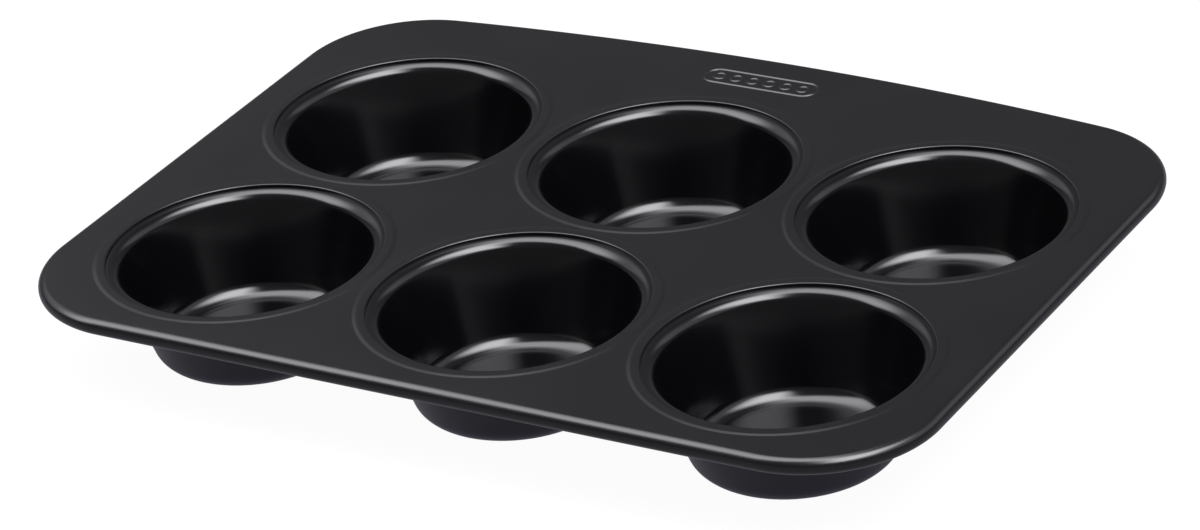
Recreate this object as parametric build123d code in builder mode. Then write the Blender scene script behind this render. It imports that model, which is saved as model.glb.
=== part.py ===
from build123d import *
import os
from math import asin, degrees, radians, sqrt, tan

# Six-cup muffin tin: a pressed top plate with a wired edge, and six drawn cups set into it from below.
# Millimetres, +Z up, X along the long side, -Y the straight front edge, +Y the bowed back edge.
# The origin is the centre of the overall box, at the height of the cup bases.

# ---------------------------------------------------------------- driving dimensions
# Cup grid
columns = ["left", "centre", "right"]
rows = ["front", "back"]
ring_gap = 1.0  # flat sheet left between two raised rings

# Plate: flat land from the raised rings to the outer face of the curled edge
side_land = 10.0
front_land = 8.0
back_land = 27.3  # at the middle of the back edge, where it is deepest
back_edge_radius = 880.0  # the back edge is one long shallow arc
corner_radius = 35.5
plate_sheet = 0.8

# Wired edge
wire_radius = 1.6
wire_clearance = 0.04
curl_wrap = 292.0  # degrees of sheet round the wire, from the top

# Cup
cup_sheet = 0.6
cup_depth = 28.3  # from the top of the flange to the underside of the base
mouth_corner_radius = 35.6  # where the inside lines of flange and wall would meet
wall_taper = 17.3  # degrees from upright
lip_bend = 3.4  # radius of the rolled lip, on the inside face
base_bend = 5.0  # radius of the corner round the base, on the inside face

# Seat round each hole: the plate rises a little in a soft step, and the flange lies under it
ledge_width = 3.0  # from the lip's corner to the edge of the hole
ring_width = 2.4  # flat raised ring over the flange
ring_rise = 0.2
step_width = 1.0
step_bend = 1.8
step_foot = 0.45  # flat sheet outside the step that belongs to the ring
flange_clearance = 0.5

# Spot welds between flange and ring, seen as dimples from below
weld_count = 12
weld_radius = 0.5
weld_depth = 0.1

# Plaque on the back margin: a raised outline round a row of raised rings
plaque_length = 36.2
plaque_width = 8.0
plaque_offset = 1.3  # to the right of the middle
plaque_edge_distance = 15.2  # its centre line to the back edge's outer face
bead_radius = 0.45
bead_rise = 0.28
mark_count = 6
mark_pitch = 5.4
mark_radius = 1.7
mark_bead_radius = 0.32
mark_bead_rise = 0.2

# ---------------------------------------------------------------- sizes that follow
curl_inner = wire_radius + wire_clearance
curl_outer = curl_inner + plate_sheet

hole_radius = mouth_corner_radius + ledge_width
step_inner = hole_radius + ring_width
step_outer = step_inner + step_width
trim_radius = step_outer + step_foot
flange_radius = step_inner - flange_clearance
base_corner_radius = mouth_corner_radius - (cup_depth - cup_sheet) * tan(radians(wall_taper))

flange_top = cup_depth
ring_bottom = flange_top
deck_bottom = ring_bottom - ring_rise
deck_top = deck_bottom + plate_sheet

cup_pitch = 2 * step_outer + ring_gap
half_length = cup_pitch * (len(columns) - 1) / 2 + step_outer + side_land
depth = front_land + back_land + 2 * step_outer + cup_pitch * (len(rows) - 1)
front_y = -depth / 2
back_y = depth / 2
cup_x = [cup_pitch * (i - (len(columns) - 1) / 2) for i in range(len(columns))]
cup_y = [front_y + front_land + step_outer + cup_pitch * i for i in range(len(rows))]
cup_places = [(f"cup_{row}_{column}", x, y) for y, row in zip(cup_y, rows) for x, column in zip(cup_x, columns)]

os.makedirs("parts", exist_ok=True)


def finish_piece(part, name):
    """Label a piece and write it under its own name."""
    part.label = name
    export_step(part, f"parts/{name}.step")


def upright_plane(x, y):
    """The XZ plane through a cup's axis."""
    return Plane(origin=(x, y, 0), x_dir=(1, 0, 0), z_dir=(0, -1, 0))


# ---------------------------------------------------------------- line of the wire's centre
# The plate's outline, inset by the curl: straight front and sides, long arc at the back, round corners.
# It runs clockwise seen from above, from the middle of the front edge.
inset = curl_outer
side_x = half_length - inset
line_corner = corner_radius - inset
line_back = back_edge_radius - inset
corner_x = side_x - line_corner
front_corner_y = front_y + inset + line_corner
back_arc_y = back_y - back_edge_radius
back_corner_y = back_arc_y + sqrt((line_back - line_corner) ** 2 - corner_x**2)
back_half_angle = degrees(asin(corner_x / (line_back - line_corner)))
wire_z = deck_top - curl_outer

with BuildLine(Plane.XY.offset(wire_z)) as rim_line:
    run = Line((0, front_y + inset), (-corner_x, front_y + inset))
    bend = JernArc(run @ 1, run % 1, line_corner, -90)
    run = Line(bend @ 1, (-side_x, back_corner_y))
    bend = JernArc(run @ 1, run % 1, line_corner, back_half_angle - 90)
    back = JernArc(bend @ 1, bend % 1, line_back, -2 * back_half_angle)
    bend = JernArc(back @ 1, back % 1, line_corner, back_half_angle - 90)
    run = Line(bend @ 1, (side_x, front_corner_y))
    bend = JernArc(run @ 1, run % 1, line_corner, -90)
    Line(bend @ 1, (0, front_y + inset))
rim_wire_line = rim_line.wire()
rim_section = Plane(origin=(0, front_y + inset, wire_z), x_dir=(0, -1, 0), z_dir=(-1, 0, 0))

# ---------------------------------------------------------------- top plate
with BuildPart() as top_plate:
    # Flat sheet inside the curl, trimmed back round each hole
    with BuildSketch(Plane.XY.offset(deck_bottom)):
        with BuildLine():
            add(rim_wire_line.moved(Location((0, 0, -wire_z))))
        make_face()
        with Locations(*[(x, y) for name, x, y in cup_places]):
            Circle(trim_radius, mode=Mode.SUBTRACT)
    extrude(amount=plate_sheet)

    # Raised ring round each hole, with a soft step down to the plate
    for name, x, y in cup_places:
        with BuildSketch(upright_plane(x, y)):
            with BuildLine():
                FilletPolyline(
                    (hole_radius, ring_bottom),
                    (step_inner, ring_bottom),
                    (step_outer, deck_bottom),
                    (trim_radius, deck_bottom),
                    radius=step_bend,
                )
                offset(amount=plate_sheet, side=Side.LEFT)
            make_face()
        revolve(axis=Axis((x, y, 0), (0, 0, 1)))

    # Edge turned down and curled round the wire
    with BuildSketch(rim_section):
        with BuildLine():
            outer = CenterArc((0, 0), curl_outer, 90, -curl_wrap)
            inner = CenterArc((0, 0), curl_inner, 90, -curl_wrap)
            Line(outer @ 0, inner @ 0)
            Line(outer @ 1, inner @ 1)
        make_face()
    sweep(path=rim_wire_line)

    # Plaque: a raised bead along a slot-shaped line
    plaque_y = back_y - plaque_edge_distance
    plaque_low = plaque_y - plaque_width / 2
    straight = plaque_length - plaque_width
    with BuildLine(Plane.XY.offset(deck_top + bead_rise - bead_radius)) as plaque_line:
        lower = Line((plaque_offset, plaque_low), (plaque_offset + straight / 2, plaque_low))
        end = JernArc(lower @ 1, lower % 1, plaque_width / 2, 180)
        upper = Line(end @ 1, (plaque_offset - straight / 2, plaque_low + plaque_width))
        end = JernArc(upper @ 1, upper % 1, plaque_width / 2, 180)
        Line(end @ 1, lower @ 0)
    with BuildSketch(Plane(origin=plaque_line.wire() @ 0, z_dir=(1, 0, 0))):
        Circle(bead_radius)
    sweep(path=plaque_line.wire())

    # Row of raised rings inside the plaque
    for i in range(mark_count):
        mark_x = plaque_offset + mark_pitch * (i - (mark_count - 1) / 2)
        with BuildSketch(upright_plane(mark_x, plaque_y)):
            with Locations((mark_radius, deck_top + mark_bead_rise - mark_bead_radius)):
                Circle(mark_bead_radius)
        revolve(axis=Axis((mark_x, plaque_y, 0), (0, 0, 1)))
finish_piece(top_plate.part, "top_plate")

# ---------------------------------------------------------------- rim wire
with BuildPart() as rim_wire:
    with BuildSketch(rim_section):
        Circle(wire_radius)
    sweep(path=rim_wire_line)
finish_piece(rim_wire.part, "rim_wire")


# ---------------------------------------------------------------- cups
def make_cup(name, x, y):
    """One drawn cup: flat flange, rolled lip, tapered wall, rounded base corner, flat base."""
    with BuildPart() as cup:
        with BuildSketch(upright_plane(x, y)):
            with BuildLine():
                FilletPolyline(
                    (flange_radius, flange_top),
                    (mouth_corner_radius, flange_top),
                    (base_corner_radius, cup_sheet),
                    (0, cup_sheet),
                    radius=[lip_bend, base_bend],
                )
                offset(amount=cup_sheet, side=Side.LEFT)
            make_face()
        revolve(axis=Axis((x, y, 0), (0, 0, 1)))

        # Small welds that hold the flange up against the raised ring
        with BuildSketch(Plane.XY.offset(flange_top - cup_sheet)):
            with Locations((x, y)):
                with PolarLocations((hole_radius + flange_radius) / 2, weld_count):
                    Circle(weld_radius)
        extrude(amount=weld_depth, mode=Mode.SUBTRACT)
    finish_piece(cup.part, name)


for cup_name, centre_x, centre_y in cup_places:
    make_cup(cup_name, centre_x, centre_y)
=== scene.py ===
from math import asin, atan2, ceil, cos, hypot, pi, radians, sin, sqrt, tan

import bmesh
import bpy
from mathutils import Matrix, Vector
from mathutils.geometry import delaunay_2d_cdt


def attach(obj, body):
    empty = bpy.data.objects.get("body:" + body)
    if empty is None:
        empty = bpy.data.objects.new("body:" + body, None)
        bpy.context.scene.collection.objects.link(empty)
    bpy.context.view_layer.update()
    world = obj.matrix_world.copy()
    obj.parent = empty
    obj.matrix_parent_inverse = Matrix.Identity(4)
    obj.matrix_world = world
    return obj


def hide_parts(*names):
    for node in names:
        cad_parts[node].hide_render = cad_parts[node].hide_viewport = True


# The looks of a six-cup muffin tin: a pressed top plate with a wired edge and six drawn cups.
# Metres, +Z up, X along the long side, -Y the straight front edge, +Y the bowed back edge.

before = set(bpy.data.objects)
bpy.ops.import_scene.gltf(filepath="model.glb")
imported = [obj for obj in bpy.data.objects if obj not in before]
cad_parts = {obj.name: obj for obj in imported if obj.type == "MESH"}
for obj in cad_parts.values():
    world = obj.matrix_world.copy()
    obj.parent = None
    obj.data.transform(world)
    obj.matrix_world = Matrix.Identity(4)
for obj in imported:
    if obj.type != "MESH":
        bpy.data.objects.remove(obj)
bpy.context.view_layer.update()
scene = bpy.context.scene
MM = 0.001

# ---------------------------------------------------------------- camera
camera_place = Vector((0.70236, -1.08584, 0.69162))
camera_target = Vector((0.01344, -0.02628, 0.0291))
camera_roll = radians(-6.16)
camera_lens = 158.9  # mm
camera_sensor = 36.0  # mm wide
camera_reach = 50.0

camera_data = bpy.data.cameras.new("camera")
camera_data.lens = camera_lens
camera_data.sensor_width = camera_sensor
camera_data.clip_end = camera_reach
camera = bpy.data.objects.new("camera", camera_data)
scene.collection.objects.link(camera)
aim = (camera_target - camera_place).to_track_quat("-Z", "Y").to_matrix().to_4x4()
camera.matrix_world = Matrix.Translation(camera_place) @ aim @ Matrix.Rotation(camera_roll, 4, "Z")
scene.camera = camera

# ---------------------------------------------------------------- sizes of the tin, in metres
columns = ["left", "centre", "right"]
rows = ["front", "back"]

# Top plate. A land is the flat margin between the rings and the edge.
ring_gap = 1.0 * MM
side_land = 10.0 * MM
front_land = 8.0 * MM
back_land = 27.3 * MM
back_edge_radius = 880.0 * MM
corner_radius = 35.5 * MM
plate_sheet = 0.8 * MM
wire_radius = 1.6 * MM
wire_clearance = 0.04 * MM
curl_wrap = radians(292)

# Ring round each hole: flat ring, then a step down to the deck, which is the flat of the plate
ledge_width = 3.0 * MM  # from the mouth's corner to the hole's edge
ring_width = 2.4 * MM
ring_rise = 0.2 * MM
step_width = 1.0 * MM
step_bend = 1.8 * MM
step_foot = 0.45 * MM
edge_round = 0.35 * MM  # worn corner of the cut sheet

# Cups
cup_sheet = 0.6 * MM
cup_depth = 28.3 * MM
mouth_corner_radius = 35.6 * MM
wall_taper = radians(17.3)
lip_bend = 3.4 * MM
base_bend = 5.0 * MM
flange_clearance = 0.5 * MM
weld_count = 12
weld_radius = 0.5 * MM
weld_depth = 0.1 * MM

# Plaque: a slot-shaped bead with a row of small ring marks in it
plaque_length = 36.2 * MM
plaque_width = 8.0 * MM
plaque_offset = 1.3 * MM  # to the right of the middle
plaque_edge_distance = 15.2 * MM
bead_half_width = 0.42 * MM
bead_rise = 0.28 * MM
mark_count = 6
mark_pitch = 5.4 * MM
mark_radius = 1.7 * MM
mark_half_width = 0.34 * MM
mark_rise = 0.2 * MM

# How finely the surfaces are cut
outline_gap = 2.4 * MM
curl_cuts = 56
wire_cuts = 24
ring_cuts = 288
ring_turn = radians(2)
ring_line_gap = 0.5 * MM
hole_edge_cuts = 8
cup_turn = radians(3)
cup_line_gap = 1.5 * MM
flange_line_gap = 0.14 * MM
flange_cuts = 14
weld_cuts = [0.0, 0.14 * MM, 0.28 * MM, 0.42 * MM, 0.56 * MM, 0.75 * MM]
cuts_between_welds = 18
patch_margin = 1.6 * MM  # of the fine grid round the plaque
patch_step = 0.12 * MM
deck_spacing = 5 * MM
deck_edge_margin = 8 * MM
deck_hole_margin = 2 * MM
sharp_angle = radians(38)
same_place = 0.0001 * MM
merge_distance = 1e-9

# Sizes that follow
curl_inner = wire_radius + wire_clearance
curl_outer = curl_inner + plate_sheet
hole_radius = mouth_corner_radius + ledge_width
step_inner = hole_radius + ring_width
step_outer = step_inner + step_width
trim_radius = step_outer + step_foot
flange_radius = step_inner - flange_clearance
weld_ring_radius = (hole_radius + flange_radius) / 2
base_corner_radius = mouth_corner_radius - (cup_depth - cup_sheet) * tan(wall_taper)
flange_bottom = cup_depth - cup_sheet
ring_bottom = cup_depth
ring_top = ring_bottom + plate_sheet
deck_bottom = ring_bottom - ring_rise
deck_top = deck_bottom + plate_sheet
wire_z = deck_top - curl_outer
cup_pitch = 2 * step_outer + ring_gap
half_length = cup_pitch * (len(columns) - 1) / 2 + step_outer + side_land
back_y = (front_land + back_land + 2 * step_outer + cup_pitch * (len(rows) - 1)) / 2
front_y = -back_y
cup_x = [cup_pitch * (i - (len(columns) - 1) / 2) for i in range(len(columns))]
cup_y = [front_y + front_land + step_outer + cup_pitch * i for i in range(len(rows))]
plaque_y = back_y - plaque_edge_distance
patch_left = plaque_offset - plaque_length / 2 - patch_margin
patch_right = plaque_offset + plaque_length / 2 + patch_margin
patch_front = plaque_y - plaque_width / 2 - patch_margin
patch_back = plaque_y + plaque_width / 2 + patch_margin


# ---------------------------------------------------------------- lines
def turned(vector, angle):
    """A 2-D vector turned anticlockwise."""
    return Vector((
        vector.x * cos(angle) - vector.y * sin(angle),
        vector.x * sin(angle) + vector.y * cos(angle),
    ))


def left_of(way):
    """The direction to the left of a 2-D direction."""
    return Vector((-way.y, way.x))


def rounded_line(corners, radii, turn_step):
    """A 2-D line with its inner corners rounded, as pairs of a point and the normal to its left."""
    corners = [Vector(corner) for corner in corners]
    line = [(corners[0], left_of((corners[1] - corners[0]).normalized()))]
    for before, here, after, radius in zip(corners, corners[1:], corners[2:], radii):
        arriving = (here - before).normalized()
        leaving = (after - here).normalized()
        turn = atan2(arriving.x * leaving.y - arriving.y * leaving.x, arriving.dot(leaving))
        side = 1 if turn > 0 else -1
        start = here - arriving * radius * tan(abs(turn) / 2)
        centre = start + left_of(arriving) * side * radius
        pieces = max(2, ceil(abs(turn) / turn_step))
        for k in range(pieces + 1):
            angle = turn * k / pieces
            line.append((centre + turned(start - centre, angle), turned(left_of(arriving), angle)))
    line.append((corners[-1], left_of((corners[-1] - corners[-2]).normalized())))
    return line


def spread_points(line, gap):
    """Adds points to the straight runs of a line, so that none are further apart than the gap."""
    spread = [line[0]]
    for (a, normal_a), (b, normal_b) in zip(line, line[1:]):
        pieces = max(1, ceil((b - a).length / gap))
        for k in range(1, pieces + 1):
            t = k / pieces
            spread.append((a.lerp(b, t), normal_a.lerp(normal_b, t).normalized()))
    return spread


def sheet_profile(corners, radii, turn_step, gap, thickness):
    """The two faces of a bent sheet: one along the corners and one a thickness to its left."""
    line = spread_points(rounded_line(corners, radii, turn_step), gap)
    first = [point for point, normal in line]
    second = [point + normal * thickness for point, normal in line]
    return first, second


def straight_edge(x0, y0, x1, y1):
    """Points of a straight stretch of the outline but for its last, as (x, y, outward x, outward y)."""
    length = hypot(x1 - x0, y1 - y0)
    pieces = max(1, ceil(length / outline_gap))
    points = []
    for k in range(pieces):
        t = k / pieces
        points.append((x0 + (x1 - x0) * t, y0 + (y1 - y0) * t, (y1 - y0) / length, (x0 - x1) / length))
    return points


def round_edge(centre_x, centre_y, radius, start, end, turn_step):
    """Points of a round stretch of the outline but for its last, as (x, y, outward x, outward y)."""
    pieces = max(2, ceil((end - start) / turn_step))
    points = []
    for k in range(pieces):
        angle = start + (end - start) * k / pieces
        out_x = cos(angle)
        out_y = sin(angle)
        points.append((centre_x + radius * out_x, centre_y + radius * out_y, out_x, out_y))
    return points


def outline(inset):
    """The plate's outline, inset, anticlockwise from above."""
    side = half_length - inset
    corner = corner_radius - inset
    back = back_edge_radius - inset
    corner_x = side - corner
    front = front_y + inset
    front_corner_y = front + corner
    back_centre_y = back_y - back_edge_radius
    back_corner_y = back_centre_y + sqrt((back - corner) ** 2 - corner_x**2)
    half_angle = asin(corner_x / (back - corner))
    corner_step = outline_gap / corner_radius * 0.5
    back_step = outline_gap / back_edge_radius
    points = straight_edge(-corner_x, front, corner_x, front)
    points += round_edge(corner_x, front_corner_y, corner, -pi / 2, 0, corner_step)
    points += straight_edge(side, front_corner_y, side, back_corner_y)
    points += round_edge(corner_x, back_corner_y, corner, 0, pi / 2 - half_angle, corner_step)
    points += round_edge(0, back_centre_y, back, pi / 2 - half_angle, pi / 2 + half_angle, back_step)
    points += round_edge(-corner_x, back_corner_y, corner, pi / 2 + half_angle, pi, corner_step)
    points += straight_edge(-side, back_corner_y, -side, front_corner_y)
    points += round_edge(-corner_x, front_corner_y, corner, pi, 3 * pi / 2, corner_step)
    return points


# ---------------------------------------------------------------- mesh helpers
def bridge(bm, low, high):
    """A strip of faces between two closed loops of vertices."""
    count = len(low)
    for i in range(count):
        j = (i + 1) % count
        bm.faces.new((low[i], low[j], high[j], high[i]))


def bridge_all(bm, loops):
    """Strips of faces from each loop of vertices to the next."""
    for low, high in zip(loops, loops[1:]):
        bridge(bm, low, high)


def loop_along_edge(bm, line, radius, angle):
    """A loop of vertices that follows the plate's edge at a point of a circle round the wire's axis."""
    out = radius * cos(angle)
    z = wire_z + radius * sin(angle)
    return [bm.verts.new((x + out_x * out, y + out_y * out, z)) for x, y, out_x, out_y in line]


def new_piece(name, node, bm, materials):
    """Makes an object of a mesh, smooth but for its sharp edges, in place of a CAD node."""
    bmesh.ops.recalc_face_normals(bm, faces=bm.faces)
    for face in bm.faces:
        face.smooth = True
    for edge in bm.edges:
        if len(edge.link_faces) == 2 and edge.calc_face_angle() > sharp_angle:
            edge.smooth = False
    mesh = bpy.data.meshes.new(name)
    bm.to_mesh(mesh)
    bm.free()
    for material in materials:
        mesh.materials.append(material)
    piece = bpy.data.objects.new(name, mesh)
    scene.collection.objects.link(piece)
    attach(piece, "root")
    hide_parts(node)
    return piece


# ---------------------------------------------------------------- node helpers
def noise(tree, place, scale, detail):
    """A noise from 0 to 1 over a piece."""
    node = tree.nodes.new("ShaderNodeTexNoise")
    node.inputs["Scale"].default_value = scale
    node.inputs["Detail"].default_value = detail
    tree.links.new(place, node.inputs["Vector"])
    return node.outputs["Fac"]


def blend(tree, amount, low, high):
    """A colour between two others."""
    node = tree.nodes.new("ShaderNodeMixRGB")
    node.inputs["Color1"].default_value = (*low, 1)
    node.inputs["Color2"].default_value = (*high, 1)
    tree.links.new(amount, node.inputs["Fac"])
    return node.outputs["Color"]


def carried(tree, value, old, new, smooth=False):
    """A value carried from an old range to a new one, in a straight line or smoothly."""
    node = tree.nodes.new("ShaderNodeMapRange")
    node.interpolation_type = "SMOOTHSTEP" if smooth else "LINEAR"
    node.inputs["From Min"].default_value = old[0]
    node.inputs["From Max"].default_value = old[1]
    node.inputs["To Min"].default_value = new[0]
    node.inputs["To Max"].default_value = new[1]
    tree.links.new(value, node.inputs["Value"])
    return node.outputs["Result"]


# ---------------------------------------------------------------- materials
def coating(name, colour, sheen, rough, rough_spread, peel, peel_size):
    """Baked-on non-stick coating: near black, with specks, uneven dullness and a fine orange peel."""
    material = bpy.data.materials.new(name)
    material.use_nodes = True
    tree = material.node_tree
    shader = tree.nodes["Principled BSDF"]
    shader.inputs["Specular IOR Level"].default_value = sheen
    place = tree.nodes.new("ShaderNodeTexCoord").outputs["Object"]

    # Colour: slow clouds with specks in them
    colour_spread = 0.18
    speck_strength = 0.5
    cloud = noise(tree, place, scale=28.0, detail=3.0)
    specks = noise(tree, place, scale=1400.0, detail=2.0)
    darker = [channel * (1 - colour_spread) for channel in colour]
    lighter = [channel * (1 + colour_spread) for channel in colour]
    speckle = tree.nodes.new("ShaderNodeMixRGB")
    speckle.blend_type = "MULTIPLY"
    speckle.inputs["Fac"].default_value = speck_strength
    tree.links.new(blend(tree, cloud, darker, lighter), speckle.inputs["Color1"])
    tree.links.new(specks, speckle.inputs["Color2"])
    tree.links.new(speckle.outputs["Color"], shader.inputs["Base Color"])

    # Dullness follows the clouds
    cloud_middle = (0.3, 0.7)
    dull = carried(tree, cloud, cloud_middle, (rough - rough_spread, rough + rough_spread))
    tree.links.new(dull, shader.inputs["Roughness"])

    # Orange peel
    bump = tree.nodes.new("ShaderNodeBump")
    bump.inputs["Strength"].default_value = 1.0
    bump.inputs["Distance"].default_value = peel
    tree.links.new(noise(tree, place, scale=1 / peel_size, detail=1.5), bump.inputs["Height"])
    tree.links.new(bump.outputs["Normal"], shader.inputs["Normal"])
    return material


def drawn_wire(name):
    """Bright steel wire, uneven from the die."""
    material = bpy.data.materials.new(name)
    material.use_nodes = True
    tree = material.node_tree
    shader = tree.nodes["Principled BSDF"]
    shader.inputs["Metallic"].default_value = 1.0
    place = tree.nodes.new("ShaderNodeTexCoord").outputs["Object"]
    cloud = noise(tree, place, scale=260.0, detail=4.0)
    shade = blend(tree, cloud, (0.42, 0.42, 0.43), (0.62, 0.62, 0.63))
    tree.links.new(shade, shader.inputs["Base Color"])
    tree.links.new(carried(tree, cloud, (0.0, 1.0), (0.25, 0.5)), shader.inputs["Roughness"])
    return material


plate_coating = coating(
    "plate_coating",
    colour=(0.0018, 0.0018, 0.0028),
    sheen=0.5,
    rough=0.25,
    rough_spread=0.02,
    peel=0.003 * MM,
    peel_size=0.9 * MM,
)
cup_inside = coating(
    "cup_inside",
    colour=(0.0014, 0.0014, 0.0018),
    sheen=0.45,
    rough=0.15,
    rough_spread=0.02,
    peel=0.0015 * MM,
    peel_size=1.2 * MM,
)
cup_outside = coating(
    "cup_outside",
    colour=(0.004, 0.003, 0.016),
    sheen=0.55,
    rough=0.35,
    rough_spread=0.04,
    peel=0.003 * MM,
    peel_size=0.8 * MM,
)
wire_steel = drawn_wire("wire_steel")


# ---------------------------------------------------------------- top plate
def build_curl(bm, line):
    """The plate's edge curled round the wire. Gives the loops where its two faces meet the deck."""
    angles = [pi / 2 - curl_wrap * k / curl_cuts for k in range(curl_cuts + 1)]
    outer = [loop_along_edge(bm, line, curl_outer, angle) for angle in angles]
    inner = [loop_along_edge(bm, line, curl_inner, angle) for angle in angles]
    bridge_all(bm, outer)
    bridge_all(bm, inner)
    bridge(bm, outer[-1], inner[-1])
    return outer[0], inner[0]


def ring_profile():
    """The ring's section: from the deck's top over the ring, round the hole's edge, to the deck's bottom."""
    lower, upper = sheet_profile(
        corners=[
            (hole_radius, ring_bottom),
            (step_inner, ring_bottom),
            (step_outer, deck_bottom),
            (trim_radius, deck_bottom),
        ],
        radii=[step_bend, step_bend],
        turn_step=ring_turn,
        gap=ring_line_gap,
        thickness=plate_sheet,
    )
    round_centre = Vector((hole_radius + edge_round, ring_top - edge_round))
    hole_edge = []
    for k in range(hole_edge_cuts + 1):
        angle = pi / 2 + (pi / 2) * k / hole_edge_cuts
        hole_edge.append(round_centre + Vector((cos(angle), sin(angle))) * edge_round)
    top = [point for point in reversed(upper) if point.x > hole_radius + edge_round * 1.5]
    return top + hole_edge + lower


def build_ring(bm, profile, centre_x, centre_y):
    """The raised ring round a hole. Gives the loops where its two faces meet the deck."""
    angles = [2 * pi * k / ring_cuts for k in range(ring_cuts)]
    loops = []
    for point in profile:
        loops.append([
            bm.verts.new((centre_x + point.x * cos(angle), centre_y + point.x * sin(angle), point.y))
            for angle in angles
        ])
    bridge_all(bm, loops)
    return loops[0], loops[-1]


def bead_height(distance, half_width, rise):
    """Height of a pressed bead at a distance from its line."""
    if distance >= half_width:
        return 0.0
    fullness = 0.8  # below 1 makes the bead's top flatter
    return rise * (0.5 + 0.5 * cos(pi * distance / half_width)) ** fullness


def plaque_height(x, y):
    """Height of the plaque's pressing over the deck."""
    dx = x - plaque_offset
    dy = y - plaque_y
    straight = (plaque_length - plaque_width) / 2
    to_line = abs(hypot(max(abs(dx) - straight, 0.0), dy) - plaque_width / 2)
    height = bead_height(to_line, bead_half_width, bead_rise)
    for i in range(mark_count):
        mark_x = mark_pitch * (i - (mark_count - 1) / 2)
        to_mark = abs(hypot(dx - mark_x, dy) - mark_radius)
        height = max(height, bead_height(to_mark, mark_half_width, mark_rise))
    return height


def patch_points():
    """The fine grid that carries the plaque, column by column, as (x, y, height)."""
    across_count = ceil((patch_right - patch_left) / patch_step)
    along_count = ceil((patch_back - patch_front) / patch_step)
    grid = []
    for i in range(across_count + 1):
        x = patch_left + (patch_right - patch_left) * i / across_count
        column = []
        for j in range(along_count + 1):
            y = patch_front + (patch_back - patch_front) * j / along_count
            column.append((x, y, plaque_height(x, y)))
        grid.append(column)
    return grid


def build_patch(bm, points, z):
    """One face of the sheet at the plaque. Gives the loop round it."""
    grid = [[bm.verts.new((x, y, z + height)) for x, y, height in column] for column in points]
    for left, right in zip(grid, grid[1:]):
        for j in range(len(left) - 1):
            bm.faces.new((left[j], right[j], right[j + 1], left[j + 1]))
    front = [column[0] for column in grid]
    back = [column[-1] for column in grid]
    return front[:-1] + grid[-1][:-1] + back[:0:-1] + grid[0][:0:-1]


def clear_of_openings(x, y, margin):
    """Whether a point of the deck is outside the rings and the plaque's patch by a margin."""
    for centre_x in cup_x:
        for centre_y in cup_y:
            if hypot(x - centre_x, y - centre_y) < trim_radius + margin:
                return False
    in_x = patch_left - margin < x < patch_right + margin
    in_y = patch_front - margin < y < patch_back + margin
    return not (in_x and in_y)


def clear_of_edge(x, y):
    """Whether a point is well inside the plate's outline."""
    if abs(x) > half_length - deck_edge_margin or abs(y) > back_y - deck_edge_margin:
        return False
    into_corner_x = max(abs(x) - half_length + corner_radius, 0)
    into_corner_y = max(abs(y) - back_y + corner_radius + deck_edge_margin, 0)
    return hypot(into_corner_x, into_corner_y) <= corner_radius - deck_edge_margin


def inside_loop(x, y, loop):
    """Whether a point is inside a closed loop of (x, y) points."""
    inside = False
    for (x0, y0), (x1, y1) in zip(loop, loop[1:] + loop[:1]):
        if (y0 > y) != (y1 > y) and x < x0 + (y - y0) / (y1 - y0) * (x1 - x0):
            inside = not inside
    return inside


def build_deck(bm, z, rim, openings):
    """Fills the flat of the plate at a height, between the rim's loop and the loops of its openings."""
    loops = [rim] + openings
    verts = [vert for loop in loops for vert in loop]
    points = [Vector((vert.co.x, vert.co.y)) for vert in verts]
    edges = []
    start = 0
    for loop in loops:
        count = len(loop)
        edges += [(start + i, start + (i + 1) % count) for i in range(count)]
        start += count
    reach_x = int(half_length / deck_spacing)
    reach_y = int(back_y / deck_spacing)
    for i in range(-reach_x, reach_x + 1):
        for j in range(-reach_y, reach_y + 1):
            x = i * deck_spacing
            y = j * deck_spacing
            if clear_of_edge(x, y) and clear_of_openings(x, y, deck_hole_margin):
                points.append(Vector((x, y)))

    places, _, faces, sources, _, _ = delaunay_2d_cdt(points, edges, [], 0, merge_distance)
    made = []
    for place, source in zip(places, sources):
        if source and source[0] < len(verts):
            made.append(verts[source[0]])
        else:
            made.append(bm.verts.new((place.x, place.y, z)))
    rim_line = [(vert.co.x, vert.co.y) for vert in rim]
    for face in faces:
        middle_x = sum(places[i].x for i in face) / len(face)
        middle_y = sum(places[i].y for i in face) / len(face)
        if clear_of_openings(middle_x, middle_y, 0) and inside_loop(middle_x, middle_y, rim_line):
            bm.faces.new([made[i] for i in face])
    for vert in [vert for vert in made if not vert.link_faces]:
        bm.verts.remove(vert)


def build_plate():
    """The top plate: curled edge, six rings, plaque and the deck between them."""
    bm = bmesh.new()
    rim_top, rim_bottom = build_curl(bm, outline(curl_outer))
    profile = ring_profile()
    rings = [build_ring(bm, profile, centre_x, centre_y) for centre_y in cup_y for centre_x in cup_x]
    points = patch_points()
    top_patch = build_patch(bm, points, deck_top)
    build_deck(bm, deck_top, rim_top, [top for top, bottom in rings] + [top_patch])
    bottom_patch = build_patch(bm, points, deck_bottom)
    build_deck(bm, deck_bottom, rim_bottom, [bottom for top, bottom in rings] + [bottom_patch])
    new_piece("plate", "top_plate", bm, [plate_coating])


# ---------------------------------------------------------------- wire in the edge
def build_wire():
    """The closed loop of wire inside the curled edge."""
    bm = bmesh.new()
    line = outline(curl_outer)
    loops = [loop_along_edge(bm, line, wire_radius, 2 * pi * k / wire_cuts) for k in range(wire_cuts)]
    bridge_all(bm, loops + loops[:1])
    new_piece("edge_wire", "rim_wire", bm, [wire_steel])


# ---------------------------------------------------------------- cups
weld_sector = 2 * pi / weld_count


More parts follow.
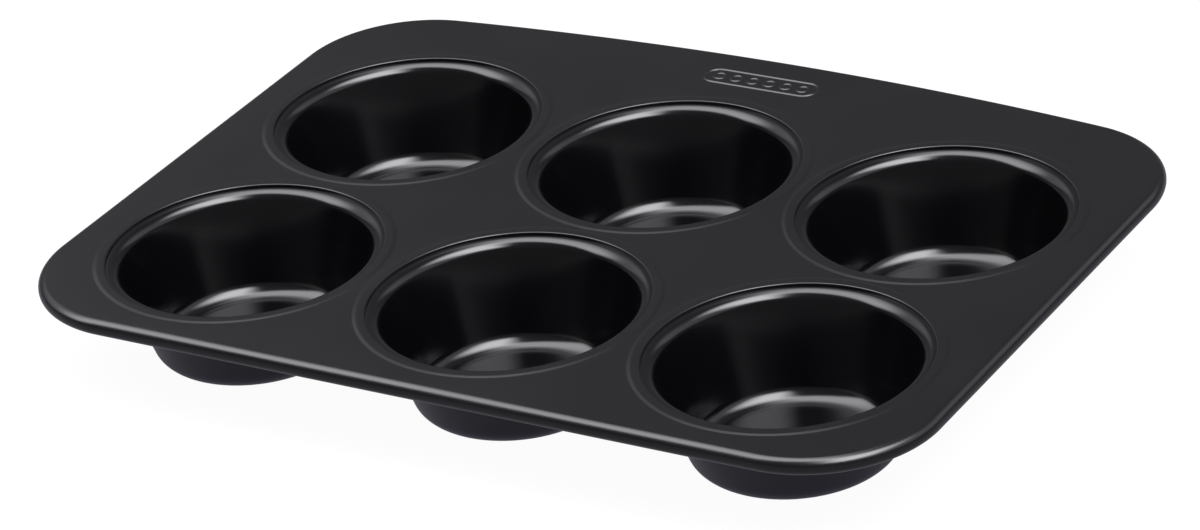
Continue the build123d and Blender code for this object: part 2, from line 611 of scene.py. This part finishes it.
def cup_angles():
    """Angles round a cup, closer together at the welds."""
    near = [cut / weld_ring_radius for cut in weld_cuts]
    offsets = sorted(set([-angle for angle in near] + near))
    gap = (weld_sector - 2 * near[-1]) / (cuts_between_welds + 1)
    offsets += [near[-1] + gap * (k + 1) for k in range(cuts_between_welds)]
    return [weld_sector * i + offset for i in range(weld_count) for offset in offsets]


def weld_height(radius, angle):
    """How far the dimple of the nearest weld rises into the flange."""
    off = (angle + weld_sector / 2) % weld_sector - weld_sector / 2
    distance = hypot(radius - weld_ring_radius, off * weld_ring_radius)
    if distance >= weld_radius:
        return 0.0
    return weld_depth * (0.5 + 0.5 * cos(pi * distance / weld_radius))


def cup_profile():
    """The cup's section: up its inside from the base's middle, over the flange and down its outside."""
    inside, outside = sheet_profile(
        corners=[
            (flange_radius, cup_depth),
            (mouth_corner_radius, cup_depth),
            (base_corner_radius, cup_sheet),
            (0, cup_sheet),
        ],
        radii=[lip_bend, base_bend],
        turn_step=cup_turn,
        gap=cup_line_gap,
        thickness=cup_sheet,
    )
    under_flange = [Vector((flange_radius - k * flange_line_gap, flange_bottom)) for k in range(flange_cuts)]
    flange_inner = under_flange[-1].x - 0.05 * MM
    below_flange = []
    for point in outside:
        on_flange = point.y > flange_bottom - same_place and point.x > flange_inner
        if point.x > same_place and not on_flange:
            below_flange.append(point)
    up_inside = [point for point in reversed(inside) if point.x > same_place]
    return up_inside + under_flange + below_flange


def build_cup(row, column, centre_x, centre_y):
    """A drawn cup with its flange, dimpled below by the welds."""
    bm = bmesh.new()
    angles = cup_angles()
    loops = []
    for point in cup_profile():
        under_flange = abs(point.y - flange_bottom) < same_place
        loop = []
        for angle in angles:
            z = point.y + (weld_height(point.x, angle) if under_flange else 0.0)
            loop.append(bm.verts.new((centre_x + point.x * cos(angle), centre_y + point.x * sin(angle), z)))
        loops.append(loop)
    bridge_all(bm, loops)
    for loop, z in ((loops[0], cup_sheet), (loops[-1], 0.0)):
        pole = bm.verts.new((centre_x, centre_y, z))
        for a, b in zip(loop, loop[1:] + loop[:1]):
            bm.faces.new((a, b, pole))
    node = f"cup_{row}_{column}"
    piece = new_piece(f"{node}_shell", node, bm, [cup_inside, cup_outside])

    # The inside is sprayed smoother than the outside
    for polygon in piece.data.polygons:
        from_axis = Vector((polygon.center.x - centre_x, polygon.center.y - centre_y))
        faces_axis = polygon.normal.x * from_axis.x + polygon.normal.y * from_axis.y < 1e-9
        is_inside = polygon.normal.z > 0.2 and (faces_axis or from_axis.length < 1 * MM)
        polygon.material_index = 0 if is_inside else 1


build_plate()
build_wire()
for row, centre_y in zip(rows, cup_y):
    for column, centre_x in zip(columns, cup_x):
        build_cup(row, column, centre_x, centre_y)

# ---------------------------------------------------------------- studio light
scene.view_settings.view_transform = "Standard"

# Level directions in the studio: towards the camera, and across the picture to the right
towards = Vector((camera_place.x - camera_target.x, camera_place.y - camera_target.y, 0)).normalized()
across = Vector((-towards.y, towards.x, 0))

world = bpy.data.worlds.new("studio")
scene.world = world
world.use_nodes = True
sky = world.node_tree
direction = sky.nodes.new("ShaderNodeTexCoord").outputs["Generated"]


def sky_math(kind, a, b):
    """A math node on two values, each a number or another node's output."""
    node = sky.nodes.new("ShaderNodeMath")
    node.operation = kind
    for socket, value in zip(node.inputs, (a, b)):
        if isinstance(value, float):
            socket.default_value = value
        else:
            sky.links.new(value, socket)
    return node.outputs["Value"]


def sky_along(axis):
    """How far a direction points along an axis."""
    node = sky.nodes.new("ShaderNodeVectorMath")
    node.operation = "DOT_PRODUCT"
    node.inputs[1].default_value = axis
    sky.links.new(direction, node.inputs[0])
    return node.outputs["Value"]


# The light is laid out on a level ceiling over the tin: how far to the right in the picture and how far
# towards the camera, both in heights of the ceiling.
lowest = 0.04
height = sky_along((0, 0, 1))
above_horizon = sky_math("MAXIMUM", height, lowest)
over_right = sky_math("DIVIDE", sky_along(across), above_horizon)
over_near = sky_math("DIVIDE", sky_along(towards), above_horizon)


def fade(value, none, full):
    """0 where the value is at or beyond none and 1 where it is at or beyond full."""
    if full > none:
        return carried(sky, value, (none, full), (0.0, 1.0), smooth=True)
    return carried(sky, value, (full, none), (1.0, 0.0), smooth=True)


def softbox(radiance, left, right, far, near):
    """A soft-edged light on the ceiling. Each side is where it has faded out and where it is full."""
    light = fade(over_right, *left)
    for side in (fade(over_right, *right), fade(over_near, *far), fade(over_near, *near)):
        light = sky_math("MULTIPLY", light, side)
    light = sky_math("MULTIPLY", light, fade(height, 0.1, 0.3))
    return sky_math("MULTIPLY", light, radiance)


room = carried(sky, height, (0.2, 0.9), (0.18, 0.25), smooth=True)
lights = [
    # Band overhead and to the left
    softbox(7.0, left=(-2.8, -1.0), right=(0.3, -0.1), far=(-1.1, -0.1), near=(0.35, 0.05)),
    # Main light, over the camera's side and to the right
    softbox(14.5, left=(-0.15, 0.2), right=(1.3, 0.4), far=(-0.2, 0.3), near=(1.5, 0.8)),
    # Pale walls behind the tin, to the left and to the right
    softbox(0.8, left=(-4.0, -2.0), right=(0.0, -0.7), far=(-2.6, -1.6), near=(-0.4, -1.2)),
    softbox(0.9, left=(0.6, 1.4), right=(5.0, 3.0), far=(-1.8, -1.0), near=(3.0, 1.0)),
]
glow = room
for light in lights:
    glow = sky_math("ADD", glow, light)
background = sky.nodes["Background"]
background.inputs["Color"].default_value = (0.99, 0.985, 1.02, 1)
sky.links.new(glow, background.inputs["Strength"])

# ---------------------------------------------------------------- floor
floor_reach = 12.0
floor_drop = 0.2 * MM  # keeps it clear of the bases
floor_grey = 0.03
floor_glow = 0.96

floor_mesh = bpy.data.meshes.new("floor")
floor_corners = [(x * floor_reach, y * floor_reach, 0) for x, y in ((-1, -1), (1, -1), (1, 1), (-1, 1))]
floor_mesh.from_pydata(floor_corners, [], [(0, 1, 2, 3)])
floor = bpy.data.objects.new("floor", floor_mesh)
scene.collection.objects.link(floor)
floor.location.z = -floor_drop
floor_paint = bpy.data.materials.new("floor_paint")
floor_paint.use_nodes = True
floor_shader = floor_paint.node_tree.nodes["Principled BSDF"]
floor_shader.inputs["Base Color"].default_value = (floor_grey, floor_grey, floor_grey, 1)
floor_shader.inputs["Roughness"].default_value = 1.0
floor_shader.inputs["Specular IOR Level"].default_value = 0.0
floor_shader.inputs["Emission Color"].default_value = (1, 1, 1, 1)
floor_shader.inputs["Emission Strength"].default_value = floor_glow
floor_mesh.materials.append(floor_paint)

# The floor's own glow keeps it white. It is linked to the floor alone, so that it doesn't light the tin.
floor_alone = bpy.data.collections.new("floor_alone")
floor_alone.objects.link(floor)
floor.light_linking.receiver_collection = floor_alone

# A dim light just over the floor stands for what a pale table gives back to the tin
bounce_size = 3.0
bounce_radiance = 0.3
bounce_lamp = bpy.data.lights.new("table_bounce", "AREA")
bounce_lamp.size = bounce_size
bounce_lamp.energy = bounce_radiance * pi * bounce_size**2
bounce_lamp.color = (0.95, 0.94, 1.06)
bounce = bpy.data.objects.new("table_bounce", bounce_lamp)
scene.collection.objects.link(bounce)
bounce.location.z = -floor_drop / 2
bounce.rotation_euler.x = pi
bounce.visible_camera = False
